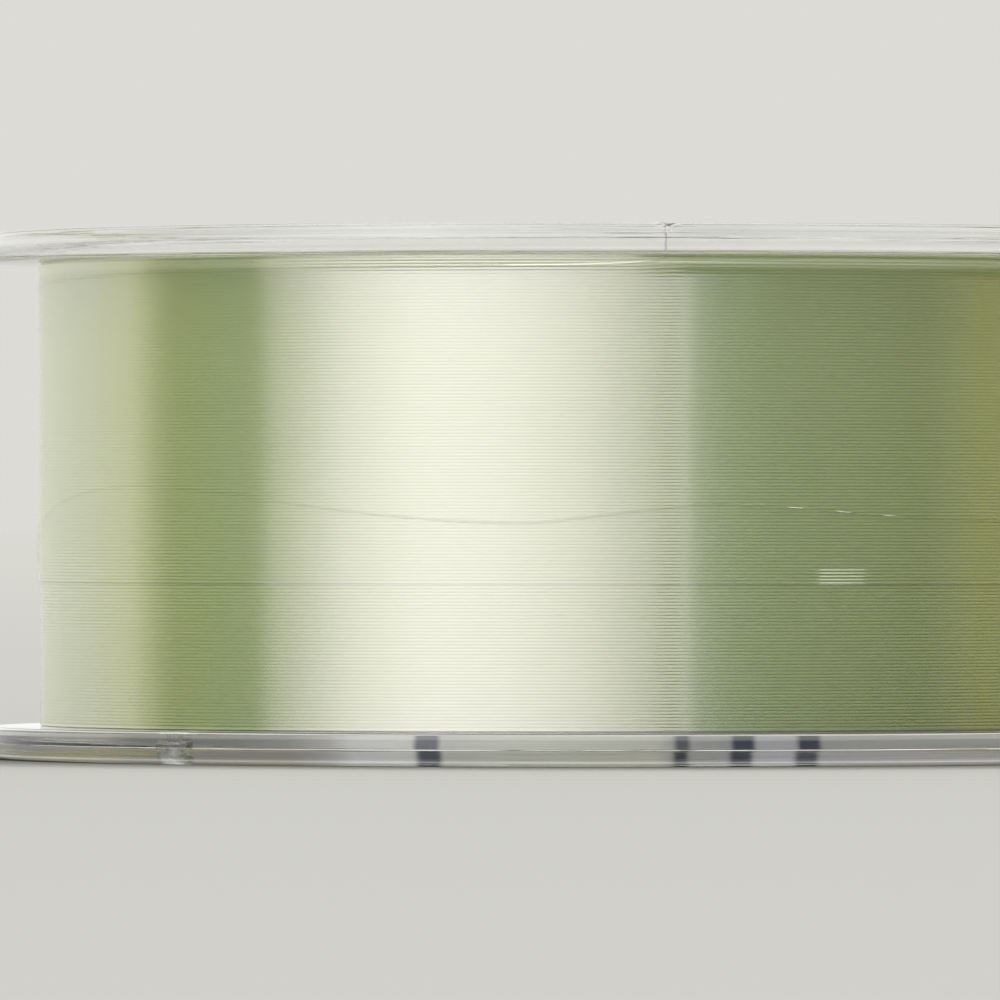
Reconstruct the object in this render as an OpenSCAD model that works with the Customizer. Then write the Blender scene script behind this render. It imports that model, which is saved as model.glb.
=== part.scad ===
// Full spool of fishing line: two clear moulded halves, a label on each face, a strip of tape
// under the first turn, and one unbroken line wound between the flanges.
// Millimetres. +Z is the spool's axis. The origin is on that axis, in the plane it stands on.

/* [Flanges] */
// Diameter across both flanges
flange_d = 92; // [90:0.5:110]
// Thickness of a flange at its rim
rim_t = 2.4; // [2:0.1:3.4]
// Distance between the flanges at the rim
line_gap = 34.4; // [28:0.2:60]
// Draft of a flange's inner face, in degrees
face_draft = 2.5; // [1:0.25:4]
// Draft of the rim between its ridge and the line's side, in degrees
draft_in = 17; // [8:1:20]
// Draft of the rim between its ridge and the outer side, in degrees
draft_out = 22; // [8:1:24]
// Width of the flat left on the ridge where the mould parts
ridge_land = 0.08; // [0.04:0.01:0.2]
// Radius along the two edges of a rim
edge_r = 0.25; // [0.1:0.05:0.5]
// Fillet between a flange and the barrel
root_r = 0.5; // [0.2:0.1:0.8]

/* [Barrel and hub] */
// Diameter of the barrel that the line is wound on
barrel_d = 77; // [70:0.5:78]
// Wall of the barrel
barrel_wall = 1.8; // [1.6:0.1:3]
// Diameter of the bore for the spindle
bore_d = 12; // [8:0.5:16]
// Wall of the hub round the bore
hub_wall = 2; // [1.6:0.1:3]
// Lead-in at each mouth of the bore
bore_chamfer = 0.4; // [0.2:0.1:0.6]
// Thickness of the web between the hub and the barrel
web_t = 2.4; // [1.2:0.1:2.6]
// Number of ribs inside each half
rib_count = 6; // [4:1:10]
// Thickness of a rib
rib_t = 1.2; // [0.8:0.1:2]
// Height of a rib above the web
rib_h = 11; // [4:0.5:12]

/* [Joint between the halves] */
// Overlap of spigot and socket
lap = 4; // [3:0.5:5]
// Radial clearance of a spigot in its socket
lap_fit = 0.05; // [0.02:0.01:0.1]
// Room beyond the end of a spigot
lap_room = 0.3; // [0.1:0.1:0.6]

/* [Labels] */
// Diameter of a face label
label_d = 79; // [60:0.5:82]
// Thickness of a face label
label_t = 0.12; // [0.08:0.02:0.2]
// Depth of the recess that a label lies in
recess = 0.25; // [0.2:0.05:0.6]
// Margin round a label in its recess
label_margin = 0.5; // [0.2:0.1:1]

/* [Line clip in the upper flange] */
// Direction of the slit, in degrees round the axis
slit_angle = -83.8; // [-180:0.1:180]
// Distance from the wound line out to the middle of the eye where the slit ends
eye_room = 0.6; // [0.5:0.05:0.9]
// Width of the slit, which pinches the line
slit_w = 0.1; // [0.06:0.01:0.2]
// Width of the lead-in where the slit meets the rim
lead_w = 1.4; // [0.6:0.1:2]
// Depth of that lead-in
lead_depth = 0.35; // [0.2:0.05:0.6]
// Room that the line has round it in that eye
eye_fit = 0.03; // [0.02:0.01:0.1]

/* [Line hole in the lower flange] */
// Direction of the hole, in degrees round the axis
hole_angle = -133.5; // [-180:0.1:180]
// Distance of the hole from the rim
hole_inset = 2.9; // [2.6:0.1:3]
// Diameter of the hole
hole_d = 1.6; // [0.8:0.1:2]
// Diameter of the wider step on the outer side
step_d = 3.6; // [2:0.1:3.8]
// Depth of that step
step_depth = 1.25; // [0.6:0.05:1.5]

/* [Line] */
// Thickness of the line
line_d = 0.235; // [0.2:0.005:0.4]
// Radial depth of the wound line where its last layer lies
wound_depth = 3.5; // [2:0.1:4]
// Height of the end of the last layer above the base
layer_end_z = 13.2; // [10:0.1:20]
// Turns drawn on the last layer
outer_turns = 16; // [4:1:17]
// Turns drawn on the layer that shows below it
under_turns = 7; // [2:1:7]
// Radial room between the plain inner layers and a drawn turn
turn_seat = 0.02; // [0.01:0.01:0.1]
// Clearance between the line's inner layers and the spool
wind_fit = 0.04; // [0.02:0.01:0.1]

/* [Starting tape] */
// Width of the tape along the axis
tape_w = 9; // [5:0.5:15]
// Length of the tape round the barrel
tape_len = 24; // [10:1:40]
// Thickness of the tape
tape_t = 0.08; // [0.05:0.01:0.2]

/* [Hidden] */
$fn = 96;

height = 2 * rim_t + line_gap;
mid_z = height / 2;
flange_r = flange_d / 2;
edge_in_r = edge_centre(draft_in);
edge_out_r = edge_centre(draft_out);
barrel_r = barrel_d / 2;
barrel_in_r = barrel_r - barrel_wall;
barrel_lap_r = barrel_r - barrel_wall / 2;
bore_r = bore_d / 2;
hub_r = bore_r + hub_wall;
hub_lap_r = bore_r + hub_wall / 2;
web_z = recess + web_t;
recess_r = label_d / 2 + label_margin;
face_slope = tan(face_draft);
root_z = flange_z(barrel_r + root_r);
arc_steps = 5;
through = 1;

line_r = line_d / 2;
layer_step = line_d * sqrt(3) / 2;
pack_r = barrel_r + wound_depth;
outer_turn_r = pack_r - line_r;
under_turn_r = outer_turn_r - layer_step;
loop_rings = 24;
tube_sides = 6;
// A drawn loop is a polygon, so its chords pass this far inside the turn's own circle
chord_dip = outer_turn_r * (1 - cos(180 / loop_rings));
core_under_r = under_turn_r - line_r - chord_dip - turn_seat;
core_outer_r = core_under_r + layer_step;
end_gap = 0.8;
outer_top_z = height - flange_z(outer_turn_r) - end_gap;
under_low_z = flange_z(under_turn_r) + end_gap;
outer_pitch = (outer_top_z - layer_end_z) / outer_turns;
under_top_z = layer_end_z - outer_pitch;
under_pitch = (under_top_z - under_low_z) / under_turns;

eye_d = line_d + 2 * eye_fit;
eye_r = pack_r + eye_room;
eye_z = height - flange_z(eye_r);
slit_len = flange_r - eye_r;

// The last turn leaves the last layer's end, crosses over the pack and comes up to the eye.
// A stop is a direction round the axis in degrees, a height and a distance from the axis.
strand_r = pack_r + line_r + 0.15;
strand_steps = 3;
layer_end_angle = -200;
last_turn_stops = [
  [-200, layer_end_z, outer_turn_r], [-193, layer_end_z + 0.1, (outer_turn_r + strand_r) / 2],
  [-186, layer_end_z + 0.9, strand_r], [-176, layer_end_z + 3.2, strand_r],
  [-163, mid_z - 0.6, strand_r], [-147, mid_z + 0.7, strand_r], [-132, mid_z + 0.3, strand_r],
  [-120, mid_z - 0.8, strand_r], [-108, mid_z - 1.7, strand_r], [-98, mid_z - 2, strand_r],
  [-90, mid_z - 1.5, strand_r], [-80, mid_z - 0.7, strand_r], [-71, mid_z - 0.7, strand_r],
  [-60, mid_z - 1.2, strand_r], [-46, mid_z - 1.7, strand_r], [-25, mid_z - 1.8, strand_r],
  [10, mid_z - 0.4, strand_r], [50, mid_z + 3.6, strand_r], [90, eye_z - 8, strand_r],
  [130, eye_z - 4.4, strand_r], [170, eye_z - 2.2, strand_r], [210, eye_z - 1.2, strand_r],
  [240, eye_z - 0.9, strand_r], [262, eye_z - 0.8, strand_r], [268, eye_z - 0.75, strand_r],
  [272.5, eye_z - 0.65, (strand_r + eye_r) / 2], [275.4, eye_z - 0.45, eye_r],
  [276.2, eye_z - 0.22, eye_r], [276.2, eye_z - 0.05, eye_r], [276.2, eye_z + rim_t / 2, eye_r],
  [276.2, height - line_r, eye_r]
];

function arc(cx, cy, r, from, to) = [
  for (i = [0 : arc_steps])
    let (a = from + (to - from) * i / arc_steps) [cx + r * cos(a), cy + r * sin(a)]
];

// Radius at which the round of a rim's edge is centred, beside a slope of the given draft
function edge_centre(draft) =
  flange_r - ((rim_t - ridge_land) / 2 - edge_r) * tan(draft) - edge_r / cos(draft);

// Height of a flange's inner face above its outer face, at radius r
function flange_z(r) = rim_t + (edge_in_r - r) * face_slope;

// Profile of one half from the bore's mouth round the rim to the root of the barrel
function flange_profile() = concat(
  [[bore_r, recess + bore_chamfer], [bore_r + bore_chamfer, recess], [recess_r, recess], [recess_r, 0]],
  arc(edge_out_r, edge_r, edge_r, -90, -draft_out),
  [[flange_r, (rim_t - ridge_land) / 2], [flange_r, (rim_t + ridge_land) / 2]],
  arc(edge_in_r, rim_t - edge_r, edge_r, draft_in, 90),
  arc(barrel_r + root_r, root_z + root_r, root_r, 270, 180)
);

// Wall of the barrel and hub up to the parting plane: spigots on one half, sockets on the other
function spigot_profile() = [
  [barrel_r, mid_z], [barrel_lap_r, mid_z], [barrel_lap_r, mid_z + lap], [barrel_in_r, mid_z + lap],
  [barrel_in_r, web_z], [hub_r, web_z],
  [hub_r, mid_z], [hub_lap_r, mid_z], [hub_lap_r, mid_z + lap], [bore_r, mid_z + lap]
];

function socket_profile() = let (
  deep = mid_z - lap - lap_room,
  barrel_socket_r = barrel_lap_r + lap_fit,
  hub_socket_r = hub_lap_r + lap_fit
) [
  [barrel_r, mid_z], [barrel_socket_r, mid_z], [barrel_socket_r, deep], [barrel_in_r, deep],
  [barrel_in_r, web_z], [hub_r, web_z],
  [hub_r, mid_z], [hub_socket_r, mid_z], [hub_socket_r, deep], [bore_r, deep]
];

// Frame of a tube that lies on the pack: one side direction points out from the axis
function outward(p, t) = let (
  e = [p[0], p[1], 0] / norm([p[0], p[1], 0]),
  n = e - (e * t) * t
) n / norm(n);

function tangents(path) = [
  for (i = [0 : len(path) - 1])
    let (d = path[min(i + 1, len(path) - 1)] - path[max(i - 1, 0)]) d / norm(d)
];

// Least gap between a tube's runs: points less than half a turn apart along it are one run
function least_gap(path, apart) = min([
  for (i = [0 : len(path) - 1])
    for (j = [i + apart : len(path) - 1]) norm(path[i] - path[j])
]) - line_d;

// A point of a smooth curve through four stops, at share s between the middle two
function blend4(a, b, c, d, s) =
  b + s / 2 * (c - a + s * (2 * a - 5 * b + 4 * c - d + s * (3 * (b - c) + d - a)));

function stop_at(stops, i) = stops[max(0, min(len(stops) - 1, i))];

function on_pack(r, angle, z) = [r * cos(angle), r * sin(angle), z];

// Turns of a layer from one height to another; twist is +1 or -1 for the way it climbs
function layer_path(r, from_z, pitch, turns, from_angle, twist) = [
  for (i = [0 : turns * loop_rings])
    on_pack(r, from_angle + twist * 360 * i / loop_rings, from_z + pitch * i / loop_rings)
];

last_turn_path = concat(
  [
    for (i = [0 : len(last_turn_stops) - 2])
      for (k = [0 : strand_steps - 1])
        let (p = blend4(
          stop_at(last_turn_stops, i - 1), stop_at(last_turn_stops, i),
          stop_at(last_turn_stops, i + 1), stop_at(last_turn_stops, i + 2), k / strand_steps
        ))
          on_pack(p[2], p[0], p[1])
  ],
  [let (p = last_turn_stops[len(last_turn_stops) - 1]) on_pack(p[2], p[0], p[1])]
);

// One unbroken tube along a path, closed at both ends
module line_tube(path) {
  t = tangents(path);
  rings = [
    for (i = [0 : len(path) - 1])
      let (n = outward(path[i], t[i]), b = cross(t[i], n))
        for (k = [0 : tube_sides - 1])
          let (a = 360 * k / tube_sides) path[i] + line_r * (cos(a) * n + sin(a) * b)
  ];
  last = (len(path) - 1) * tube_sides;
  sides = [
    for (i = [0 : len(path) - 2])
      for (k = [0 : tube_sides - 1])
        let (
          a = i * tube_sides + k, b = i * tube_sides + (k + 1) % tube_sides,
          c = a + tube_sides, d = b + tube_sides
        )
          each [[a, c, b], [b, c, d]]
  ];
  caps = [
    for (k = [1 : tube_sides - 2])
      each [[0, k, k + 1], [last, last + k + 1, last + k]]
  ];
  polyhedron(points = rings, faces = concat(sides, caps), convexity = 8);
}

// What both halves have: flange, web, half of the barrel and hub, and the inner ribs
module moulded_half(joint_profile) {
  rotate_extrude() polygon(concat(flange_profile(), joint_profile));
  for (i = [0 : rib_count - 1])
    rotate([0, 0, 360 * i / rib_count])
      translate([(bore_r + hub_r) / 2, -rib_t / 2, web_z - web_t / 2])
        cube([(barrel_in_r + barrel_r - bore_r - hub_r) / 2, rib_t, rib_h + web_t / 2]);
}

module lower_spool_half() {
  color([0.88, 0.9, 0.88, 0.45])
    difference() {
      moulded_half(spigot_profile());
      rotate([0, 0, hole_angle])
        translate([flange_r - hole_inset, 0, 0]) {
          translate([0, 0, -through]) cylinder(h = rim_t + 2 * through, d = hole_d);
          translate([0, 0, -through]) cylinder(h = step_depth + through, d = step_d);
        }
    }
}

module upper_spool_half() {
  color([0.88, 0.9, 0.88, 0.45])
    difference() {
      translate([0, 0, height]) mirror([0, 0, 1]) moulded_half(socket_profile());
      rotate([0, 0, slit_angle]) {
        translate([eye_r, -slit_w / 2, height - 2 * rim_t])
          cube([slit_len + through, slit_w, 2 * rim_t + through]);
        translate([eye_r, 0, height - 2 * rim_t])
          cylinder(h = 2 * rim_t + through, d = eye_d);
        translate([flange_r - slit_len / 2, 0, height])
          rotate([90, 0, 90])
            linear_extrude(height = slit_len / 2 + through)
              polygon([[-lead_w / 2, 0], [0, -lead_depth], [lead_w / 2, 0], [0, lead_depth]]);
      }
    }
}

// A label is a thin ring that lies on the floor of its recess
module face_label() {
  difference() {
    cylinder(h = label_t, d = label_d);
    translate([0, 0, -through])
      cylinder(h = label_t + 2 * through, r = bore_r + bore_chamfer + label_margin);
  }
}

module lower_face_label() {
  color([0.9, 0.92, 0.9]) translate([0, 0, recess - label_t]) face_label();
}

module upper_face_label() {
  color([0.9, 0.92, 0.9]) translate([0, 0, height - recess]) face_label();
}

// A strip bent round the barrel at its mid-height, wider on every side by a margin
module tape_band(inner_r, thick, margin) {
  angle = (tape_len + 2 * margin) / barrel_r * 180 / PI;
  rotate([0, 0, -angle / 2])
    rotate_extrude(angle = angle)
      translate([inner_r, mid_z - tape_w / 2 - margin])
        square([thick, tape_w + 2 * margin]);
}

module line_start_tape() {
  color([0.93, 0.93, 0.9]) tape_band(barrel_r, tape_t, 0);
}

// Section of the inner layers: it follows the drafted flanges and clears the fillets at the barrel
module core_section() {
  inner_r = barrel_r + wind_fit;
  corner_r = barrel_r + root_r + wind_fit;
  in_z = root_z + root_r + wind_fit;
  corner_z = flange_z(corner_r) + wind_fit;
  low_z = flange_z(core_under_r) + wind_fit;
  high_z = flange_z(core_outer_r) + wind_fit;
  step_z = layer_end_z - outer_pitch / 2;
  polygon([
    [inner_r, in_z], [corner_r, corner_z], [core_under_r, low_z],
    [core_under_r, step_z], [core_outer_r, step_z],
    [core_outer_r, height - high_z], [corner_r, height - corner_z], [inner_r, height - in_z]
  ]);
}

module line_inner_layers() {
  color([0.72, 0.78, 0.6])
    difference() {
      rotate_extrude() core_section();
      tape_band(barrel_r - tape_t, 2 * tape_t + wind_fit, wind_fit);
    }
}

module line_under_layer() {
  path = layer_path(under_turn_r, under_low_z, under_pitch, under_turns, 40, 1);
  echo("line_under_layer: least gap between turns, mm", least_gap(path, loop_rings / 2));
  color([0.7, 0.77, 0.58]) line_tube(path);
}

module line_outer_layer() {
  path = layer_path(outer_turn_r, layer_end_z, outer_pitch, outer_turns, layer_end_angle, -1);
  echo("line_outer_layer: least gap between turns, mm", least_gap(path, loop_rings / 2));
  color([0.76, 0.82, 0.64]) line_tube(path);
}

module line_last_turn() {
  echo("line_last_turn: least gap between its runs, mm", least_gap(last_turn_path, 15 * strand_steps));
  color([0.85, 0.9, 0.76]) line_tube(last_turn_path);
}

lower_spool_half();
upper_spool_half();
lower_face_label();
upper_face_label();
line_start_tape();
line_inner_layers();
line_under_layer();
line_outer_layer();
line_last_turn();
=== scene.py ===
import math

import bpy
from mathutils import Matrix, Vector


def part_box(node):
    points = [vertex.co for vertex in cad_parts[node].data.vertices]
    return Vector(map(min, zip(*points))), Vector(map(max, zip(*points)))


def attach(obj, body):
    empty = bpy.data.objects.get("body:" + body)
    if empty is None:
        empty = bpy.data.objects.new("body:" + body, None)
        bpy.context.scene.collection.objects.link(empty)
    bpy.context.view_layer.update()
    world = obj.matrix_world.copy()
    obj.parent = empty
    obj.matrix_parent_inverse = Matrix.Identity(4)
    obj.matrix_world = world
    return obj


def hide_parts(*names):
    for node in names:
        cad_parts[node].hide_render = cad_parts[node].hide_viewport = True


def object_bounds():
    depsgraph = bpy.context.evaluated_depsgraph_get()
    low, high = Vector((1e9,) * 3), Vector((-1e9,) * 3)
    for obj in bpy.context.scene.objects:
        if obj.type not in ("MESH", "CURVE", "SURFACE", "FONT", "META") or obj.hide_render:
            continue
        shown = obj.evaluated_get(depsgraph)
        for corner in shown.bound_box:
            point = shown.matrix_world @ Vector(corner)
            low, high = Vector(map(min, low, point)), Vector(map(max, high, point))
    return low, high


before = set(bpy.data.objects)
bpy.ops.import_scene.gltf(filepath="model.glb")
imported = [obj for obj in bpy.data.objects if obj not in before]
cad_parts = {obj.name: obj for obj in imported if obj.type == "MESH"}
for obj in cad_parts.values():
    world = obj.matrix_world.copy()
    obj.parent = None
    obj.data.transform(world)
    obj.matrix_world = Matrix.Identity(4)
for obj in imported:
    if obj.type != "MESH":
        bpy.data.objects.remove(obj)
cadLow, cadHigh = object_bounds()
mm = 0.001


# shader maths: a socket that adds its Math nodes as it is used in sums

class Wire:
    def __init__(self, tree, socket):
        self.tree = tree
        self.socket = socket

    def calc(self, operation, *values):
        return addNode(self.tree, "ShaderNodeMath", {"operation": operation}, values)

    def __add__(self, other):
        return self.calc("ADD", self, other)

    def __sub__(self, other):
        return self.calc("SUBTRACT", self, other)

    def __rsub__(self, other):
        return self.calc("SUBTRACT", other, self)

    def __mul__(self, other):
        return self.calc("MULTIPLY", self, other)

    def __truediv__(self, other):
        return self.calc("DIVIDE", self, other)

    def __gt__(self, other):
        return self.calc("GREATER_THAN", self, other)

    def __lt__(self, other):
        return self.calc("LESS_THAN", self, other)

    def __abs__(self):
        return self.calc("ABSOLUTE", self)

    __radd__ = __add__
    __rmul__ = __mul__

    def root(self):
        return self.calc("SQRT", self)

    def wave(self):
        return self.calc("SINE", self)

    def atan2(self, other):
        return self.calc("ARCTAN2", self, other)

    def spread(self, start, end, low=0.0, high=1.0, course="LINEAR"):  # start..end to low..high
        return addNode(self.tree, "ShaderNodeMapRange", {"interpolation_type": course}, {
            "Value": self, "From Min": start, "From Max": end, "To Min": low, "To Max": high})

    def between(self, low, high, soft):  # 1 inside, 0 outside, with soft edges
        up = self.spread(low - soft, low + soft, course="SMOOTHSTEP")
        down = self.spread(high - soft, high + soft, course="SMOOTHSTEP")
        return up * (1 - down)


def addNode(tree, kind, settings, values, output=0):
    node = tree.nodes.new(kind)
    for name, value in settings.items():
        if name == "stops":
            setStops(node.color_ramp, value)
        else:
            setattr(node, name, value)
    pairs = values.items() if isinstance(values, dict) else enumerate(values)
    for name, value in pairs:
        if isinstance(value, Wire):
            tree.links.new(value.socket, node.inputs[name])
        else:
            node.inputs[name].default_value = value
    return Wire(tree, node.outputs[output])


def setStops(ramp, stops):
    while len(ramp.elements) > 1:
        ramp.elements.remove(ramp.elements[-1])
    ramp.elements[0].position = stops[0][0]
    ramp.elements[0].color = colour(stops[0][1])
    for place, value in stops[1:]:
        ramp.elements.new(place).color = colour(value)


def colour(value):
    return (*value, 1.0) if isinstance(value, tuple) else (value, value, value, 1.0)


black = colour(0.0)


def mixTones(tree, share, first, second):
    return addNode(tree, "ShaderNodeMix", {"data_type": "RGBA"}, {0: share, 6: first, 7: second}, 2)


def noise(tree, place, scale, detail, roughness):
    return addNode(tree, "ShaderNodeTexNoise", {"noise_dimensions": "3D"}, {
        "Vector": place, "Scale": scale, "Detail": detail, "Roughness": roughness})


def bump(tree, heights, depth):
    return addNode(tree, "ShaderNodeBump", {}, {
        "Height": heights, "Strength": 1.0, "Distance": depth})


def vectorMath(tree, operation, values):
    return addNode(tree, "ShaderNodeVectorMath", {"operation": operation}, values)


def joinAxes(tree, x, y, z):
    return addNode(tree, "ShaderNodeCombineXYZ", {}, [x, y, z])


def splitAxes(tree, vector):
    return [addNode(tree, "ShaderNodeSeparateXYZ", {}, [vector], axis) for axis in "XYZ"]


def upFacing(tree, normal):  # 1 on a face that looks up, -1 on one that looks down
    return addNode(tree, "ShaderNodeSeparateXYZ", {}, [normal], "Z")


def faceNormal(tree):
    return addNode(tree, "ShaderNodeNewGeometry", {}, {}, "Normal")


def objectPlace(tree):
    place = addNode(tree, "ShaderNodeTexCoord", {}, {}, "Object")
    return place, *splitAxes(tree, place)


def fromAxis(x, y):
    return (x * x + y * y).root()


def newMaterial(name):
    material = bpy.data.materials.new(name)
    material.use_nodes = True
    material.node_tree.nodes.clear()
    return material, material.node_tree


def finishMaterial(tree, surface):
    output = tree.nodes.new("ShaderNodeOutputMaterial")
    tree.links.new(surface.socket, output.inputs["Surface"])


# camera and studio

cameraSetup = {
    "distance": 1.150,
    "height": 0.0172,
    "lens": 553.0,
    "axisRightOfCentre": 100 / 1000,  # share of the picture's width
    "eyeLevelBelowCentre": 28 / 1000,
    "sensor": 36.0,
    "clip": (0.05, 200),
}

white = (1.0, 1.0, 1.0)
studio = {
    "backdrop": (0.72, 0.71, 0.675),
    "softbox": [  # azimuth from the camera's side, and how bright it is there
        (-90, 0.0), (-80, 0.03), (-75, 0.05), (-71.5, 0.24), (-62, 0.50), (-53, 0.75),
        (-40, 0.96), (-32, 1.0), (-20, 0.95), (-12, 0.86), (-4, 0.75), (4, 0.58), (12, 0.42),
        (17.4, 0.42), (19.6, 0.21), (26, 0.11), (36, 0.05), (70, 0.01), (84, 0.1), (100, 0.12),
        (130, 0.0)],
    "tints": [
        (-180, white), (-128, white), (-106, (1.0, 0.98, 0.72)), (-92, white),
        (-84, (0.5, 0.8, 1.0)), (-72, white), (16, white), (24, (0.8, 0.95, 1.0)),
        (44, (0.8, 0.92, 1.0)), (70, white), (86, (1.0, 0.9, 0.3)), (110, white)],
    "softboxStrength": 2.1,
    "softboxFoot": (-4, 14, -0.2, 0.13),  # between two azimuths its foot rises between two heights
    "softboxTop": 0.86,
    "softboxSoft": 0.04,
    "backStrength": 0.8,
    "backFrom": 106,  # azimuth either way
    "backSoft": 9,
    "backDeepens": (108, 150, 0.88, 1.12),
    "backTop": 0.93,
    "backTopSoft": 0.05,
    "topStrength": 1.3,
    "topFrom": 0.80,
    "topSoft": 0.06,
    "roomStrength": 0.06,
    "floorSize": 160,
    "floorCentre": (12, -7, 0),  # keeps the plane's diagonal clear of the spool
    "floorRoughness": 0.8,
    "floorColour": (0.55, 0.545, 0.522),
    "farFloorColour": (0.635, 0.628, 0.598),
    "farFrom": 2.0,  # metres at which the floor is halfway to its far tone, painted lighter so that the far floor meets the backdrop
    "shadeColour": (0.055, 0.053, 0.036),  # painted contact shadow: the floor's colour close by the spool
    "shadeReach": 24 * mm,
    "shadeDepth": 2.6,
    "shadeSamples": 16,
}


def makeCamera(setup):
    bpy.ops.object.camera_add(location=(0, -setup["distance"], setup["height"]))
    camera = bpy.context.object
    camera.name = "productCamera"
    camera.data.sensor_width = setup["sensor"]
    camera.data.lens = setup["lens"]
    camera.data.clip_start, camera.data.clip_end = setup["clip"]
    perWidth = setup["sensor"] / setup["lens"]
    yaw = math.atan(setup["axisRightOfCentre"] * perWidth)
    pitch = math.atan(setup["eyeLevelBelowCentre"] * perWidth)
    camera.rotation_euler = (math.pi / 2 + pitch, 0, yaw)
    bpy.context.scene.camera = camera


def makeWorld(setup):
    world = bpy.data.worlds.new("studio")
    world.use_nodes = True
    tree = world.node_tree
    tree.nodes.clear()
    direction = addNode(tree, "ShaderNodeTexCoord", {}, {}, "Generated")
    x, y, z = splitAxes(tree, direction)
    azimuth = x.atan2(y * -1) * (180 / math.pi)  # 0 towards the camera, + to its right
    place = (azimuth + 180) / 360
    softbox, tint = (
        addNode(tree, "ShaderNodeValToRGB", {
            "stops": [((turned + 180) / 360, value) for turned, value in setup[name]]}, [place])
        for name in ("softbox", "tints"))
    foot = azimuth.spread(*setup["softboxFoot"])
    front = softbox * z.between(foot, setup["softboxTop"], setup["softboxSoft"])
    front = front * setup["softboxStrength"]
    sideways = abs(azimuth)
    behind = sideways.between(setup["backFrom"], 300, setup["backSoft"])
    behind = behind * (z.between(-2, setup["backTop"], setup["backTopSoft"]) * setup["backStrength"])
    behind = behind * sideways.spread(*setup["backDeepens"])
    top = z.between(setup["topFrom"], 2, setup["topSoft"]) * setup["topStrength"]
    level = front + behind + top + setup["roomStrength"]
    lit = addNode(tree, "ShaderNodeBackground", {}, {"Color": tint, "Strength": level})
    seen = addNode(tree, "ShaderNodeBackground", {}, {"Color": colour(setup["backdrop"])})
    isCamera = addNode(tree, "ShaderNodeLightPath", {}, {}, "Is Camera Ray")
    both = addNode(tree, "ShaderNodeMixShader", {}, [isCamera, lit, seen])
    output = tree.nodes.new("ShaderNodeOutputWorld")
    tree.links.new(both.socket, output.inputs["Surface"])
    bpy.context.scene.world = world
    bpy.context.scene.view_settings.view_transform = "Standard"


def makeFloor(setup):
    bpy.ops.object.select_all(action="DESELECT")
    bpy.ops.mesh.primitive_plane_add(size=setup["floorSize"], location=setup["floorCentre"])
    floor = bpy.context.object
    bpy.ops.object.transform_apply(location=True)
    floor.name = "studioFloor"
    material, tree = newMaterial("palePaper")
    # painted contact shadow: ambient occlusion darkens the floor's colour towards the shade colour
    # close by the spool
    shadowOpenness = addNode(tree, "ShaderNodeAmbientOcclusion", {"samples": setup["shadeSamples"]}, {
        "Distance": setup["shadeReach"]}, "AO")
    _, x, y, _ = objectPlace(tree)
    away = fromAxis(x, y)
    # painted light: the floor's colour grows lighter away from the spool, towards its far tone
    paper = mixTones(tree, away / (away + setup["farFrom"]), colour(setup["floorColour"]),
                     colour(setup["farFloorColour"]))
    tone = mixTones(tree, shadowOpenness.calc("POWER", shadowOpenness, setup["shadeDepth"]),
                    colour(setup["shadeColour"]), paper)
    surface = addNode(tree, "ShaderNodeBsdfPrincipled", {}, {
        "Base Color": tone, "Roughness": setup["floorRoughness"], "Specular IOR Level": 0.0})
    finishMaterial(tree, surface)
    floor.data.materials.append(material)


makeCamera(cameraSetup)
makeWorld(studio)
makeFloor(studio)
print("camera and studio ready")


# sizes shared by the pieces, in metres

rim = {
    "radius": cadHigh.x,
    "thickness": 2.4 * mm,
    "upperThickness": 2.2 * mm,
    "edge": 0.42 * mm,
    "edgeSteps": 5,
    "draftIn": math.radians(17),  # from the ridge towards the line
    "draftOut": math.radians(22),
    "land": 0.08 * mm,
    "faceDraft": math.radians(0.8),
    "steps": 384,
}
barrel = {"radius": 38.5 * mm, "wall": 1.8 * mm, "root": 0.5 * mm, "rootSteps": 6,
          "lap": 4 * mm, "lapFit": 0.05 * mm, "lapRoom": 0.3 * mm}
hub = {"bore": 6 * mm, "wall": 2 * mm, "chamfer": 0.4 * mm, "web": 2.4 * mm}
labelSeat = {"recess": 0.25 * mm, "radius": 40 * mm}
line = {"thickness": 0.235 * mm, "packRadius": 42.0 * mm, "layerEnd": 13.2 * mm}
height = cadHigh.z
middle = height / 2


def rimThickness(isLower):
    return rim["thickness"] if isLower else rim["upperThickness"]


def edgeCentre(draft, thickness):  # radius at which the round of a rim's edge is centred
    slope = (thickness - rim["land"]) / 2 - rim["edge"]
    return rim["radius"] - slope * math.tan(draft) - rim["edge"] / math.cos(draft)


def flangeFace(radius, isLower):  # height of a flange's inner face above its outer face
    thickness = rimThickness(isLower)
    inward = edgeCentre(rim["draftIn"], thickness) - radius
    return thickness + inward * math.tan(rim["faceDraft"])


def arcPoints(x, z, radius, start, end, steps):
    angles = [math.radians(start + (end - start) * i / steps) for i in range(steps + 1)]
    return [(x + radius * math.cos(a), z + radius * math.sin(a)) for a in angles]


def atAngle(radius, degrees, z):
    a = math.radians(degrees)
    return (radius * math.cos(a), radius * math.sin(a), z)


# modelling helpers

sharpAngle = math.radians(16)
mergeWithin = 0.001 * mm


def deselectAll():
    if bpy.context.object and bpy.context.object.mode != "OBJECT":
        bpy.ops.object.mode_set(mode="OBJECT")
    bpy.ops.object.select_all(action="DESELECT")


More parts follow.
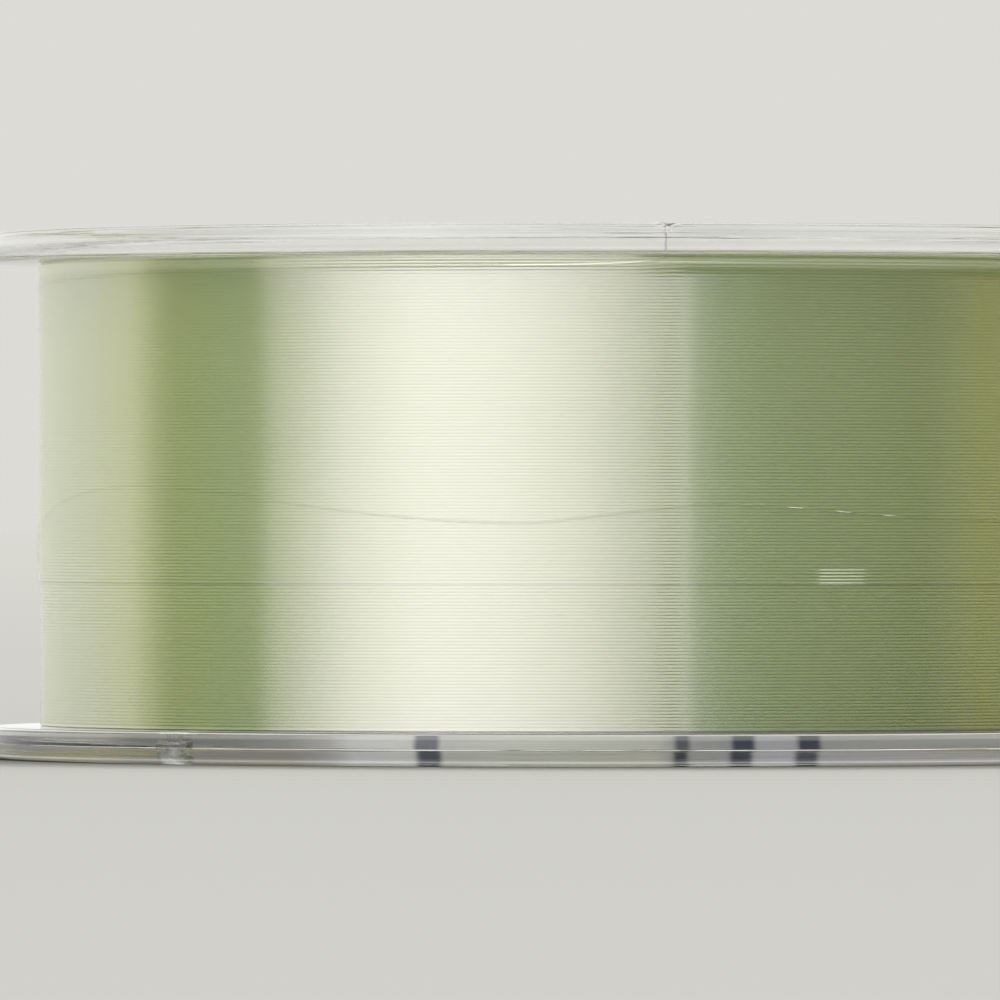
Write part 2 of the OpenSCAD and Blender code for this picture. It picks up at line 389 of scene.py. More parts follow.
def traceOutline(name, points):  # a closed outline in the plane of x and z, left in edit mode
    deselectAll()
    bpy.ops.mesh.primitive_plane_add(size=mm, location=(0, 0, 0))
    piece = bpy.context.object
    piece.name = piece.data.name = name
    bpy.ops.object.mode_set(mode="EDIT")
    bpy.ops.mesh.select_mode(type="VERT")
    bpy.ops.mesh.select_all(action="SELECT")
    bpy.ops.mesh.merge(type="CENTER")
    bpy.ops.transform.translate(value=(points[0][0], 0, points[0][1]))
    previous = points[0]
    for point in points[1:] + points[:1]:
        step = (point[0] - previous[0], 0, point[1] - previous[1])
        bpy.ops.mesh.extrude_region_move(TRANSFORM_OT_translate={"value": step})
        previous = point
    bpy.ops.mesh.select_all(action="SELECT")
    bpy.ops.mesh.remove_doubles(threshold=mergeWithin)
    return piece


def spinOutline(name, points, steps):
    piece = traceOutline(name, points)
    bpy.ops.mesh.spin(steps=steps, angle=2 * math.pi, center=(0, 0, 0), axis=(0, 0, 1))
    bpy.ops.mesh.select_all(action="SELECT")
    bpy.ops.mesh.remove_doubles(threshold=mergeWithin)
    turnOutward()
    smoothByAngle(piece)
    return piece


def turnOutward():
    bpy.ops.mesh.select_all(action="SELECT")
    bpy.ops.mesh.normals_make_consistent(inside=False)
    bpy.ops.object.mode_set(mode="OBJECT")


def smoothByAngle(piece):
    deselectAll()
    piece.select_set(True)
    bpy.context.view_layer.objects.active = piece
    bpy.ops.object.shade_smooth_by_angle(angle=sharpAngle)
    bpy.ops.object.modifier_add(type="WEIGHTED_NORMAL")
    piece.modifiers[-1].keep_sharp = True
    applyAll(piece)


def applyAll(piece):
    bpy.context.view_layer.objects.active = piece
    for modifier in list(piece.modifiers):
        bpy.ops.object.modifier_apply(modifier=modifier.name)


def cutWith(piece, cutter):
    modifier = piece.modifiers.new("cut", "BOOLEAN")
    modifier.operation = "DIFFERENCE"
    modifier.solver = "EXACT"
    modifier.object = cutter
    applyAll(piece)
    bpy.data.objects.remove(cutter)


# the two clear halves

clip = {"angle": -83.8, "eyeRadius": 42.6 * mm, "slit": 0.05 * mm, "turn": 3.7,
        "lead": 1.4 * mm, "leadDepth": 0.35 * mm, "leadAt": 0.75}  # along the slit
lineHole = {"angle": -134.2, "inset": 2.9 * mm, "hole": 1.5 * mm,
            "step": 3.2 * mm, "stepDepth": 1.25 * mm, "sides": 48}
through = 8 * mm  # a cut this long goes right through a flange


def halfOutline(isLower):
    outline = [
        (hub["bore"], labelSeat["recess"] + hub["chamfer"]),
        (hub["bore"] + hub["chamfer"], labelSeat["recess"]),
        (labelSeat["radius"], labelSeat["recess"]),
        (labelSeat["radius"], 0),
    ]
    edge, steps = rim["edge"], rim["edgeSteps"]
    thickness = rimThickness(isLower)
    outline += arcPoints(edgeCentre(rim["draftOut"], thickness), edge, edge,
                         -90, -math.degrees(rim["draftOut"]), steps)
    outline += [(rim["radius"], (thickness + side * rim["land"]) / 2) for side in (-1, 1)]
    outline += arcPoints(edgeCentre(rim["draftIn"], thickness), thickness - edge, edge,
                         math.degrees(rim["draftIn"]), 90, steps)
    rootRadius = barrel["radius"] + barrel["root"]
    outline += arcPoints(rootRadius, flangeFace(rootRadius, isLower) + barrel["root"],
                         barrel["root"], 270, 180, barrel["rootSteps"])
    inner = barrel["radius"] - barrel["wall"]
    step = barrel["radius"] - barrel["wall"] / 2
    hubOut = hub["bore"] + hub["wall"]
    hubStep = hub["bore"] + hub["wall"] / 2
    if isLower:
        end = middle + barrel["lap"]
    else:
        end = middle - barrel["lap"] - barrel["lapRoom"]
        step += barrel["lapFit"]
        hubStep += barrel["lapFit"]
    web = labelSeat["recess"] + hub["web"]
    outline += [
        (barrel["radius"], middle), (step, middle), (step, end), (inner, end), (inner, web),
        (hubOut, web), (hubOut, middle), (hubStep, middle), (hubStep, end), (hub["bore"], end),
    ]
    return outline


def makeLowerHalf():
    piece = spinOutline("clearLowerHalf", halfOutline(True), rim["steps"])
    place = atAngle(rim["radius"] - lineHole["inset"], lineHole["angle"], 0)
    sizes = ((lineHole["hole"], through), (lineHole["step"], 2 * lineHole["stepDepth"]))
    for width, depth in sizes:
        deselectAll()
        bpy.ops.mesh.primitive_cylinder_add(vertices=lineHole["sides"], radius=width / 2,
                                            depth=depth, location=place)
        cutWith(piece, bpy.context.object)
    smoothByAngle(piece)
    return piece


def makeUpperHalf():
    piece = spinOutline("clearUpperHalf", halfOutline(False), rim["steps"])
    bpy.ops.object.mode_set(mode="EDIT")
    bpy.ops.mesh.select_all(action="SELECT")
    bpy.ops.transform.mirror(constraint_axis=(False, False, True), center_override=(0, 0, middle))
    turnOutward()
    length = rim["radius"] - clip["eyeRadius"] + mm  # from the eye to past the rim
    along = clip["angle"] - clip["turn"]
    eyeX, eyeY, _ = atAngle(clip["eyeRadius"], clip["angle"], height)
    outX, outY, _ = atAngle(length / 2, along, height)
    deselectAll()
    bpy.ops.mesh.primitive_cube_add(
        size=1, location=(eyeX + outX, eyeY + outY, height),
        rotation=(0, 0, math.radians(along)), scale=(length, clip["slit"], through))
    cutWith(piece, bpy.context.object)
    deselectAll()
    bpy.ops.mesh.primitive_cube_add(size=1, location=(0, 0, 0), rotation=(math.radians(45), 0, 0),
                                    scale=(length / 2, mm, mm))
    lead = bpy.context.object
    bpy.ops.object.transform_apply(rotation=True, scale=True)
    diagonal = mm * math.sqrt(2)
    lead.scale = (1, clip["lead"] / diagonal, clip["leadDepth"] * 2 / diagonal)
    lead.rotation_euler = (0, 0, math.radians(clip["angle"]))
    lead.location = atAngle(clip["eyeRadius"] + length * clip["leadAt"], clip["angle"], height)
    cutWith(piece, lead)
    smoothByAngle(piece)
    return piece


lowerHalf = makeLowerHalf()
upperHalf = makeUpperHalf()
print("clear halves made")


# the wound line

winding = {
    "squeeze": 66,  # how far round a turn stays round before the next turn presses it flat
    "reach": 0.4985,  # half a turn's height as a share of the pitch
    "steps": 120,
    "pitch": 0.2355 * mm,
    "endRoom": 0.03 * mm,
    "depth": 0.2 * mm,
    "layerGap": 0.005 * mm,
    "underDrop": 0.11 * mm,  # the lower layer's surface under the last one's
}


def windLayer(name, radius, low, high, hand):
    turns = int((high - low) / winding["pitch"])
    squeeze = math.radians(winding["squeeze"])
    bulge = winding["pitch"] * winding["reach"] / math.sin(squeeze)
    front = [squeeze * i / 5 for i in (-5, -3, -1, 1, 3, 5)]
    section = [(radius + bulge * (math.cos(a) - 1), low + bulge * math.sin(a)) for a in front]
    back = radius - winding["depth"]
    layer = traceOutline(name, section + [(back, section[-1][1]), (back, section[0][1])])
    bpy.ops.object.mode_set(mode="OBJECT")
    screw = layer.modifiers.new("turns", "SCREW")
    screw.axis = "Z"
    screw.angle = hand * 2 * math.pi
    screw.screw_offset = (high - low) / turns
    screw.iterations = turns
    screw.steps = screw.render_steps = winding["steps"]
    applyAll(layer)
    bpy.ops.object.mode_set(mode="EDIT")
    bpy.ops.mesh.select_all(action="DESELECT")
    bpy.ops.mesh.select_non_manifold()
    bpy.ops.mesh.fill_holes(sides=8)
    turnOutward()
    bpy.ops.object.shade_smooth()
    return layer


outerCentre = line["packRadius"] - line["thickness"] / 2
upperFace = height - flangeFace(outerCentre, False)
layerTop = upperFace - line["thickness"] / 2 - winding["endRoom"]
underRadius = line["packRadius"] - winding["underDrop"]
layerBottom = flangeFace(underRadius, True) + winding["endRoom"]
underTop = line["layerEnd"] - winding["layerGap"]
outerLayer = windLayer("outerTurns", line["packRadius"], line["layerEnd"], layerTop, -1)
underLayer = windLayer("underTurns", underRadius, layerBottom, underTop, 1)

coreFit = {
    "pressed": 0.01 * mm,  # into the barrel, so the line shows through it
    "rootRoom": 0.04 * mm,
    "turnRoom": 0.004 * mm,
    "faceRoom": 0.02 * mm,
    "steps": 192,
}


def coreOutline():
    inner = barrel["radius"] - coreFit["pressed"]
    corner = barrel["radius"] + barrel["root"] + coreFit["rootRoom"]
    low = line["packRadius"] - winding["depth"] - coreFit["turnRoom"]
    under = underRadius - winding["depth"] - coreFit["turnRoom"]
    step = line["layerEnd"] + line["thickness"]
    room = coreFit["faceRoom"]
    return [
        (inner, flangeFace(corner, True) + barrel["root"] + room),
        (corner, flangeFace(corner, True) + room),
        (under, flangeFace(under, True) + room), (under, step), (low, step),
        (low, height - flangeFace(low, False) - room),
        (corner, height - flangeFace(corner, False) - room),
        (inner, height - flangeFace(corner, False) - barrel["root"] - room),
    ]


core = spinOutline("innerLayers", coreOutline(), coreFit["steps"])

lastTurn = {
    "radius": line["packRadius"] + line["thickness"] / 2 + 0.01 * mm,
    "samples": 20,
    "risesFrom": -200,  # degrees round the pack
    "risesOver": 14,
    "leavesFrom": 268,
    "leavesOver": 7,
    "roundness": 3,
    "capWithin": 0.002 * mm,
}
mid = middle / mm
face = (height - flangeFace(clip["eyeRadius"], False)) / mm
lastTurnStops = [  # degrees round the pack, and millimetres up
    (-200, 13.2), (-193, 13.3), (-186, 14.1), (-176, 16.4), (-163, mid - 0.6), (-147, mid + 0.7),
    (-132, mid + 0.3), (-120, mid - 0.8), (-108, mid - 1.7), (-98, mid - 2), (-90, mid - 1.5),
    (-80, mid - 0.7), (-71, mid - 0.95), (-60, mid - 1.55), (-46, mid - 1.85), (-25, mid - 1.8),
    (10, mid - 0.4), (50, mid + 3.6), (90, face - 8), (130, face - 4.4), (170, face - 2.2),
    (210, face - 1.2), (240, face - 0.9), (262, face - 0.8), (268, face - 0.75),
    (272.5, face - 0.65), (275.4, face - 0.45), (276.2, face - 0.22), (276.2, face - 0.05),
    (276.2, face + 1.2), (276.2, height / mm - 0.12),
]


def smoothBetween(a, b, c, d, s):  # a point between b and c on a curve through all four
    return tuple(
        q + s / 2 * (r - p + s * (2 * p - 5 * q + 4 * r - t + s * (3 * (q - r) + t - p)))
        for p, q, r, t in zip(a, b, c, d))


def lastTurnRoute():
    stops = [lastTurnStops[0], *lastTurnStops, lastTurnStops[-1]]
    samples = lastTurn["samples"]
    route = [smoothBetween(*stops[i:i + 4], k / samples)
             for i in range(len(stops) - 3) for k in range(samples)]
    return route + [lastTurnStops[-1]]


def makeLastTurn():
    route = lastTurnRoute()
    curve = bpy.data.curves.new("lastTurn", "CURVE")
    curve.dimensions = "3D"
    spline = curve.splines.new("POLY")
    spline.points.add(len(route) - 1)
    for point, (angle, z) in zip(spline.points, route):
        rise = min(1, (angle - lastTurn["risesFrom"]) / lastTurn["risesOver"])
        out = min(1, max(0, (angle - lastTurn["leavesFrom"]) / lastTurn["leavesOver"]))
        radius = outerCentre + (lastTurn["radius"] - outerCentre) * rise
        radius += (clip["eyeRadius"] - lastTurn["radius"]) * out
        point.co = (*atAngle(radius, angle, z * mm), 1)
    curve.bevel_depth = line["thickness"] / 2
    curve.bevel_resolution = lastTurn["roundness"]
    curve.use_fill_caps = True
    piece = bpy.data.objects.new("lastTurn", curve)
    bpy.context.scene.collection.objects.link(piece)
    deselectAll()
    piece.select_set(True)
    bpy.context.view_layer.objects.active = piece
    bpy.ops.object.convert(target="MESH")
    piece = bpy.context.object
    bpy.ops.object.mode_set(mode="EDIT")
    bpy.ops.mesh.select_all(action="DESELECT")
    bpy.ops.mesh.select_non_manifold()
    bpy.ops.mesh.remove_doubles(threshold=lastTurn["capWithin"])  # joins the end caps to the tube
    turnOutward()
    smoothByAngle(piece)
    return piece


lastTurnPiece = makeLastTurn()
print("line wound")


# labels

label = {"film": 0.12 * mm, "sunk": 0.02 * mm, "bore": 6.9 * mm, "steps": 192}


def makeLabel(name, node, isLower):
    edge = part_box(node)[1].x
    back = labelSeat["recess"] + label["sunk"]
    low = back - label["film"] if isLower else height - back
    high = low + label["film"]
    corners = [(label["bore"], low), (edge, low), (edge, high), (label["bore"], high)]
    return spinOutline(name, corners, label["steps"])


lowerLabel = makeLabel("lowerLabel", "lower_face_label", True)
upperLabel = makeLabel("upperLabel", "upper_face_label", False)
print("labels made")


# clear plastic

plasticLook = {
    "tint": (0.985, 0.992, 0.985),
    "roughness": 0.02,
    "bending": 1.59,  # index of refraction
    "markSpacing": 0.3 * mm,
    "markLength": 36 * mm,
    "markGrain": (3.0, 0.6),  # the noise's detail and roughness
    "markDepth": 0.025 * mm,
    "faceMarks": 0.1,  # the faces are polished
    "faceSoft": 0.2 * mm,
    "roundAt": (37.02 * mm, 37.22 * mm, 0.05 * mm),  # painted shade: the upper flange's inner round is tinted darker, for the dark seen through it
    "roundShadeTint": (0.55, 0.57, 0.45),
    "streakSpacing": 0.16 * mm,
    "streakLength": 60 * mm,
    "streakGrain": (2.0, 0.7),
    "streakFrom": (0.5, 2, 0.16),
    "streakTone": 0.26,
    "paintedEdgeGlow": [  # painted light: the flange glows in bands at its edges, standing in for light led through it: height, width, tone
        (2.29 * mm, 0.05 * mm, 0.5), (2.48 * mm, 0.1 * mm, 0.07), (2.08 * mm, 0.16 * mm, 0.11),
        (1.21 * mm, 0.025 * mm, 0.12), (0.32 * mm, 0.06 * mm, 0.16), (0.3 * mm, 0.2 * mm, 0.05)],
    "glowSoft": 0.6,  # of its width
    "glowTint": (1.0, 1.0, 0.9),
    "holeRoughness": 0.6,
    "holeMargin": 0.03 * mm,
    "holeBelow": 5 * mm,
    "stepMargin": 0.05 * mm,
}


def turnedMarks(tree, around, radius, z, length, spacing, grain):  # they run round the axis
    turned = joinAxes(tree, around * (1 / length), radius * (1 / spacing), z * (1 / spacing))
    return noise(tree, turned, 1.0, *grain)


def makeClearPlastic():
    look = plasticLook
    material, tree = newMaterial("clearPolystyrene")
    _, x, y, z = objectPlace(tree)
    radius = fromAxis(x, y)
    around = y.atan2(x) * barrel["radius"]
    marks = turnedMarks(tree, around, radius, z, look["markLength"], look["markSpacing"],
                        look["markGrain"])
    streaks = turnedMarks(tree, around, radius, z, look["streakLength"], look["streakSpacing"],
                          look["streakGrain"])
    tone = mixTones(tree, streaks.between(*look["streakFrom"]) * look["streakTone"],
                    colour(look["tint"]), black)
    # painted shade on the upper flange's inner round
    shadedRound = z.between(*look["roundAt"]) * (radius > rim["radius"] - rim["edge"])
    tone = mixTones(tree, shadedRound, tone, colour(look["roundShadeTint"]))
    onEdge = radius.between(rim["radius"] - rim["edge"], 1, look["faceSoft"])
    marks = marks * (onEdge * (1 - look["faceMarks"]) + look["faceMarks"])
    holeX, holeY, _ = atAngle(rim["radius"] - lineHole["inset"], lineHole["angle"], 0)
    fromHole = fromAxis(x - holeX, y - holeY)
    inStep = fromHole < lineHole["step"] / 2 + look["holeMargin"]
    inStep = inStep * (z < lineHole["stepDepth"] + look["stepMargin"])
    inHole = (fromHole < lineHole["hole"] / 2 + look["holeMargin"]) * (z < look["holeBelow"])
    drilled = inStep.calc("MAXIMUM", inStep, inHole)
    # painted light: glowing bands at the flange's edges
    glow = 0
    for level, width, strength in look["paintedEdgeGlow"]:
        soft = width * look["glowSoft"]
        glow = z.between(level - width, level + width, soft) * strength + glow
    glow = glow * (radius > line["packRadius"])
    surface = addNode(tree, "ShaderNodeBsdfPrincipled", {}, {
        "Base Color": tone, "IOR": look["bending"], "Transmission Weight": 1.0,
        "Roughness": drilled * look["holeRoughness"] + look["roughness"],
        "Emission Color": mixTones(tree, glow, black, colour(look["glowTint"])),
        "Emission Strength": 1.0, "Normal": bump(tree, marks, look["markDepth"])})
    finishMaterial(tree, surface)
    return material


# fishing line

lineLook = {
    "body": (0.456, 0.544, 0.228),
    "bodyRoughness": 0.5,
    "shine": (1.0, 0.93, 0.99),
    "shineShare": 0.285,
    "edgeShine": 0.3,
    "bending": 1.53,  # index of refraction
    "shineRoughness": 0.1,
    "flatten": 0.925,  # light spreads from turn to turn, so each looks flatter than it is
    "bodyFlatten": 0.87,
    "lift": 0.12,
    "liftAtFlange": 0.0,
    "levelFrom": 34.9 * mm,  # the turns level out towards the upper flange
    "levelAt": 36.3 * mm,
    "lowerCorner": 2.6 * mm,  # painted light: the turns beside the clear flanges glow, standing in for light the flanges lead to them
    "lowerCornerSoft": 0.06 * mm,
    "upperCorner": 36.1 * mm,
    "upperCornerSoft": 0.3 * mm,
    "upperCornerShare": 0.5,
    "paintedCornerGlow": (0.20, 0.21, 0.15),
    "quietLeft": -121,  # past these angles the turns lie smoother
    "quietLeftSoft": 9,
    "quietFrom": -82.0,
    "quietFromSoft": 1,
    "quietFromShare": 0.6,
    "quietRight": -54,
    "quietRightSoft": 6,
    "quietRightShare": 0.5,
    "quietShare": 0.9,
    "glow": (1.0, 1.0, 0.7),
    "glowDepth": 0.25 * mm,
    "seenThrough": (0.50, 0.47, 0.22),  # painted light: the inner layers glow where they press on the barrel, as if lit through it
    "seenThroughGlow": 0.9,
    "seenThroughDepth": 0.02 * mm,
}
proudLook = {  # a few turns that lie a little proud and catch the light
    "angle": (-65.2 - 2.8, -65.2 + 2.8, 0.8),
    "level": (13.05 * mm, 14.3 * mm, 0.03 * mm),
    "upperAngle": (-86, -30, 3),
    "upperLevel": (36.39 * mm, 36.51 * mm, 0.02 * mm),
    "upperShare": 1.15,
    "side": (-0.55, 0.3, 0.25),
    "turn": 0.36,
}
looseLook = {
    "alpha": 0.16,
    "leftFade": 0.6,
    "flatten": 0.93,
    "side": (0.0, 0.75, 0.2),
    "glintEvery": 5.1,  # degrees
    "glintPhase": 0.37,
    "glintWave": (0.55, 3, 0.4),
    "glintAngle": (-75, -54, 3),
    "glintTurn": 0.6,
    "glintAlpha": 0.55,
    "paintedHighlight": (0.75, 0.74, 0.68),  # painted highlight: the glow of the light its upper stretch catches
    "upperAngle": (-100, -85, 2),
    "upperFrom": 30 * mm,
    "upperAlpha": 0.6,
}


def makeLineMaterial(name, isLoose=False, isCore=False):
    look, loose, proud = lineLook, looseLook, proudLook
    material, tree = newMaterial(name)
    place, x, y, z = objectPlace(tree)
    angle = y.atan2(x) * (180 / math.pi)
    normal = faceNormal(tree)
    facing = upFacing(tree, normal)
    still = angle.between(-300, look["quietLeft"], look["quietLeftSoft"])
    quiet = angle.between(look["quietFrom"], 0, look["quietFromSoft"])
    quiet = quiet * look["quietFromShare"] + still
    quietRight = angle.between(look["quietRight"], 0, look["quietRightSoft"])
    quiet = quietRight * (1 - look["quietFromShare"]) * look["quietRightShare"] + quiet
    lean = 0
    alpha = 1.0
    glow = black
    glowStrength = 1.0
    if isLoose:
        wave = (angle * (2 * math.pi / loose["glintEvery"]) + loose["glintPhase"]).wave()
        facing = facing.between(*loose["side"])
        glint = wave.between(*loose["glintWave"]) * facing * angle.between(*loose["glintAngle"])
        lean = glint * loose["glintTurn"]
        upper = angle.between(*loose["upperAngle"]) * (z > loose["upperFrom"]) * facing
        base = (1 - still * loose["leftFade"]) * loose["alpha"]
        front = 1 - addNode(tree, "ShaderNodeNewGeometry", {}, {}, "Backfacing")
        alpha = front * (upper * loose["upperAlpha"] + glint * loose["glintAlpha"] + base)
        # painted highlight: the loose turn's upper stretch glows
        glow = mixTones(tree, upper, black, colour(loose["paintedHighlight"]))
    elif isCore:
        # painted light: the inner layers glow where they press on the barrel
        pressed = fromAxis(x, y) < barrel["radius"] + look["seenThroughDepth"]
        glow = mixTones(tree, pressed, black, colour(look["seenThrough"]))
        glowStrength = look["seenThroughGlow"]
    else:
        upper = angle.between(*proud["upperAngle"]) * z.between(*proud["upperLevel"])
        raised = angle.between(*proud["angle"]) * z.between(*proud["level"])
        raised = raised + upper * proud["upperShare"]
        lean = raised * facing.between(*proud["side"]) * proud["turn"]
        # painted light: the turns close to either flange glow
        cornerLight = z.between(look["upperCorner"], 1, look["upperCornerSoft"]) * look["upperCornerShare"]
        cornerLight = z.between(0, look["lowerCorner"], look["lowerCornerSoft"]) + cornerLight
        glow = mixTones(tree, cornerLight, black, colour(look["paintedCornerGlow"]))
    outward = vectorMath(tree, "NORMALIZE", [vectorMath(tree, "MULTIPLY", [place, (1, 1, 0)])])
    softboxSide = joinAxes(tree, y, x * -1, 0)  # round the pack, towards the softbox
    sideways = vectorMath(tree, "NORMALIZE", [softboxSide])
    leaned = vectorMath(tree, "SCALE", {0: sideways, "Scale": lean})
    lift = z.spread(look["levelFrom"], look["levelAt"], look["lift"], look["liftAtFlange"],
                    "SMOOTHSTEP")
    lifted = vectorMath(tree, "ADD", [outward, joinAxes(tree, 0, 0, lift)])
    lifted = vectorMath(tree, "ADD", [lifted, leaned])

    def eased(share):  # the normal, drawn towards the smooth pack's
        share = quiet * ((1 - share) * look["quietShare"]) + share
        kept = vectorMath(tree, "MULTIPLY", [normal, 1 - share])
        kept = vectorMath(tree, "MULTIPLY_ADD", [lifted, share, kept])
        return vectorMath(tree, "NORMALIZE", [kept])

    bodyNormal = eased(loose["flatten"] if isLoose else look["bodyFlatten"])
    shineNormal = eased(loose["flatten"] if isLoose else look["flatten"])
    body = addNode(tree, "ShaderNodeBsdfPrincipled", {}, {
        "Base Color": colour(look["body"]), "Roughness": look["bodyRoughness"],
        "Specular IOR Level": 0.0, "Normal": bodyNormal, "Alpha": alpha,
        "Subsurface Weight": 1.0, "Subsurface Radius": look["glow"],
        "Subsurface Scale": look["glowDepth"],
        "Emission Color": glow, "Emission Strength": glowStrength})
    shine = addNode(tree, "ShaderNodeBsdfPrincipled", {}, {
        "Base Color": colour(look["shine"]), "Roughness": look["shineRoughness"],
        "Metallic": 1.0, "Normal": shineNormal, "Alpha": alpha})
    edge = addNode(tree, "ShaderNodeFresnel", {}, {"IOR": look["bending"], "Normal": shineNormal})
    finishMaterial(tree, addNode(tree, "ShaderNodeMixShader", {}, [
        edge * look["edgeShine"] + look["shineShare"], body, shine]))
    return material


# printed labels

labelLook = {
    "paper": (0.80, 0.80, 0.785),
    "mottle": 0.93,
    "mottleFrom": 0.25,
    "roughness": (0.2, 0.32),  # how much it varies, and its least
    "fibre": 0.18 * mm,
    "fibreGrain": (4.0, 0.6),
    "fibreShare": 0.6,
    "fibreDepth": 0.012 * mm,
    "cloudScale": 120.0,
    "cloudGrain": (3.0, 0.5),
    "cloudShare": 0.5,
    # painted light: each label's back glows, standing in for light through the paper
    "upperGlow": 0.58,
    "lowerGlow": 0.3,
    "bandTone": (0.42, 0.55, 0.38),
    "band": (13.5 * mm, 29 * mm),
    "ringTone": (0.09, 0.16, 0.24),
    "rings": [(9.5 * mm, 10.1 * mm), (37.3 * mm, 38.2 * mm)],
    "ringSoft": 0.05 * mm,
    "ticks": 48,
    "tickRing": (30.6 * mm, 33.4 * mm),
    "tickWave": (0.8, 2, 0.03),
}
barLook = {  # the lower label's back, seen through the clear flange: printed bars, and bands of painted light and shade
    "ink": (0.012, 0.022, 0.06),
    "ring": (8 * mm, 39.3 * mm, 0.1 * mm),
    "fan": 78 * mm,  # the bars run towards a point this far behind the axis
    "fanWidth": 0.35,
    "shadeBands": [  # painted light and shade on the label's back, as bands of tone from left to right
        (-0.34, (0.45, 0.455, 0.44)), (-0.31, (0.32, 0.325, 0.32)), (-0.19, (0.33, 0.33, 0.325)),
        (-0.165, (0.50, 0.50, 0.51)), (-0.150, (0.76, 0.77, 0.80)), (-0.118, (0.78, 0.79, 0.80)),
        (-0.09, (0.62, 0.63, 0.60)), (-0.058, (0.70, 0.71, 0.66)), (0.035, (0.68, 0.69, 0.62)),
        (0.043, (0.50, 0.50, 0.50)), (0.078, (0.46, 0.46, 0.49)), (0.096, (0.60, 0.60, 0.66)),
        (0.118, (0.58, 0.58, 0.64)), (0.134, (0.50, 0.50, 0.515)), (0.30, (0.50, 0.505, 0.51))],
    "bars": [(-0.1105, -0.0955), (0.0440, 0.0525), (0.0780, 0.0915), (0.1180, 0.1320)],
    "barSoft": 0.0025,
}


def printFace(tree, paper, front, radius, around):  # rings, ticks and a band, with no words
    look = labelLook
    rings = around.wave().between(*look["tickWave"])
    rings = radius.between(*look["tickRing"], look["ringSoft"]) * rings
    for start, end in look["rings"]:
        rings = radius.between(start, end, look["ringSoft"]) + rings
    band = radius.between(*look["band"], look["ringSoft"])
    paper = mixTones(tree, front * band, paper, colour(look["bandTone"]))
    return mixTones(tree, front * rings, paper, colour(look["ringTone"]))


def printBackAndShade(tree, paper, back, radius, x, y):
    look = barLook
    fan = x / (look["fan"] - y)
    bars = 0
    for start, end in look["bars"]:
        bars = fan.between(start, end, look["barSoft"]) + bars
    width = look["fanWidth"] * 2
    # painted light and shade: bands of tone across half of the label's back; the bars are print
    stops = [(0.5 + place / width, tone) for place, tone in look["shadeBands"]]
    shadeBands = addNode(tree, "ShaderNodeValToRGB", {"stops": stops}, [fan / width + 0.5])
    printedAndShaded = radius.between(*look["ring"]) * (y < 0) * back
    paper = mixTones(tree, printedAndShaded, paper, shadeBands)
    return mixTones(tree, printedAndShaded * bars, paper, colour(look["ink"]))


def makeLabelMaterial(name, isLower):
    look = labelLook
    material, tree = newMaterial(name)
    place, x, y, _ = objectPlace(tree)
    fibres = noise(tree, place, 1 / look["fibre"], *look["fibreGrain"])
    clouds = noise(tree, place, look["cloudScale"], *look["cloudGrain"])
    mottled = tuple(c * look["mottle"] for c in look["paper"])
    spots = fibres * look["fibreShare"] + clouds * look["cloudShare"] - look["mottleFrom"]
    paper = mixTones(tree, spots, colour(look["paper"]), colour(mottled))
    radius = fromAxis(x, y)
    facing = upFacing(tree, faceNormal(tree))
    front = facing < -0.5 if isLower else facing > 0.5
    back = facing > 0.5 if isLower else facing < -0.5
    paper = printFace(tree, paper, front, radius, y.atan2(x) * look["ticks"])
    if isLower:
        paper = printBackAndShade(tree, paper, 1 - front, radius, x, y)
    vary, least = look["roughness"]
    surface = addNode(tree, "ShaderNodeBsdfPrincipled", {}, {
        "Base Color": paper, "Roughness": fibres * vary + least,
        # painted light: the label's back glows in its own colour
        "Emission Color": mixTones(tree, back, black, paper),
        "Emission Strength": look["lowerGlow"] if isLower else look["upperGlow"],
        "Normal": bump(tree, fibres, look["fibreDepth"])})
    finishMaterial(tree, surface)
    return material


# starting tape

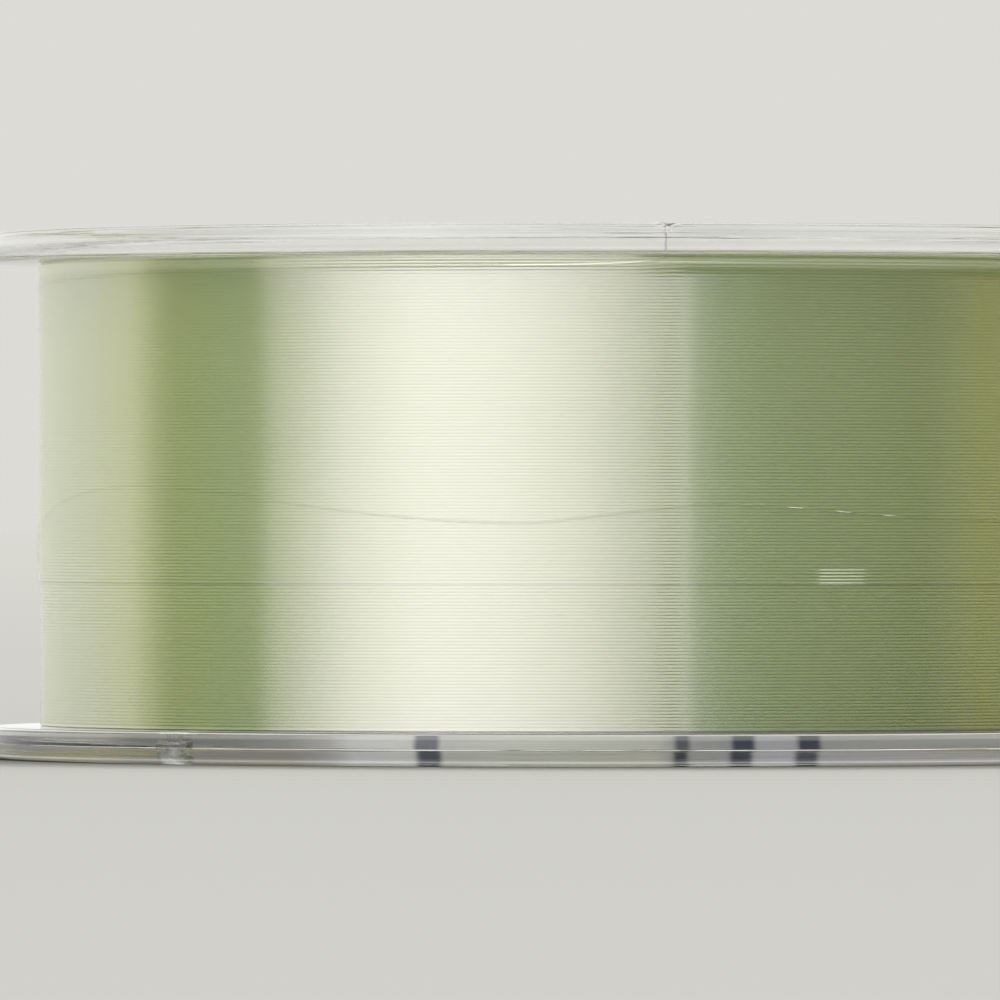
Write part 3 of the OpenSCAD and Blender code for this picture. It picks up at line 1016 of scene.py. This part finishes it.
tapeLook = {
    "film": (0.82, 0.81, 0.74),
    "wrinkle": (0.70, 0.69, 0.62),
    "wrinkleSize": 1.6 * mm,
    "wrinkleGrain": (4.0, 0.55),
    "wrinkleFrom": (0.45, 2, 0.12),
    "roughness": (0.3, 0.2),
    "depth": 0.03 * mm,
}


def makeTapeMaterial():
    look = tapeLook
    material, tree = newMaterial("startingTapeFilm")
    place = addNode(tree, "ShaderNodeTexCoord", {}, {}, "Object")
    creased = noise(tree, place, 1 / look["wrinkleSize"], *look["wrinkleGrain"])
    film = mixTones(tree, creased.between(*look["wrinkleFrom"]), colour(look["film"]),
                    colour(look["wrinkle"]))
    vary, least = look["roughness"]
    surface = addNode(tree, "ShaderNodeBsdfPrincipled", {}, {
        "Base Color": film, "Roughness": creased * vary + least,
        "Normal": bump(tree, creased, look["depth"])})
    finishMaterial(tree, surface)
    return material


clearPlastic = makeClearPlastic()
lineMaterial = makeLineMaterial("greenMonofilament")
coreMaterial = makeLineMaterial("innerLayersLine", isCore=True)
looseMaterial = makeLineMaterial("looseTurnLine", isLoose=True)
lowerLabelMaterial = makeLabelMaterial("lowerLabelPrint", True)
upperLabelMaterial = makeLabelMaterial("upperLabelPrint", False)
looks = [
    (lowerHalf, clearPlastic, "spool_plastic", ["lower_spool_half"]),
    (upperHalf, clearPlastic, "spool_plastic", ["upper_spool_half"]),
    (outerLayer, lineMaterial, "line", ["line_outer_layer"]),
    (underLayer, lineMaterial, "line", ["line_under_layer"]),
    (core, coreMaterial, "line", ["line_inner_layers"]),
    (lastTurnPiece, looseMaterial, "line", ["line_last_turn"]),
    (lowerLabel, lowerLabelMaterial, "label", ["lower_face_label"]),
    (upperLabel, upperLabelMaterial, "label", ["upper_face_label"]),
]
for piece, material, slotName, nodes in looks:
    piece.data.materials.clear()
    piece.data.materials.append(material)
    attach(piece, "root")
    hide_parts(*nodes)
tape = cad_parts["line_start_tape"]
tape.data.materials.clear()
tape.data.materials.append(makeTapeMaterial())
print("materials on")
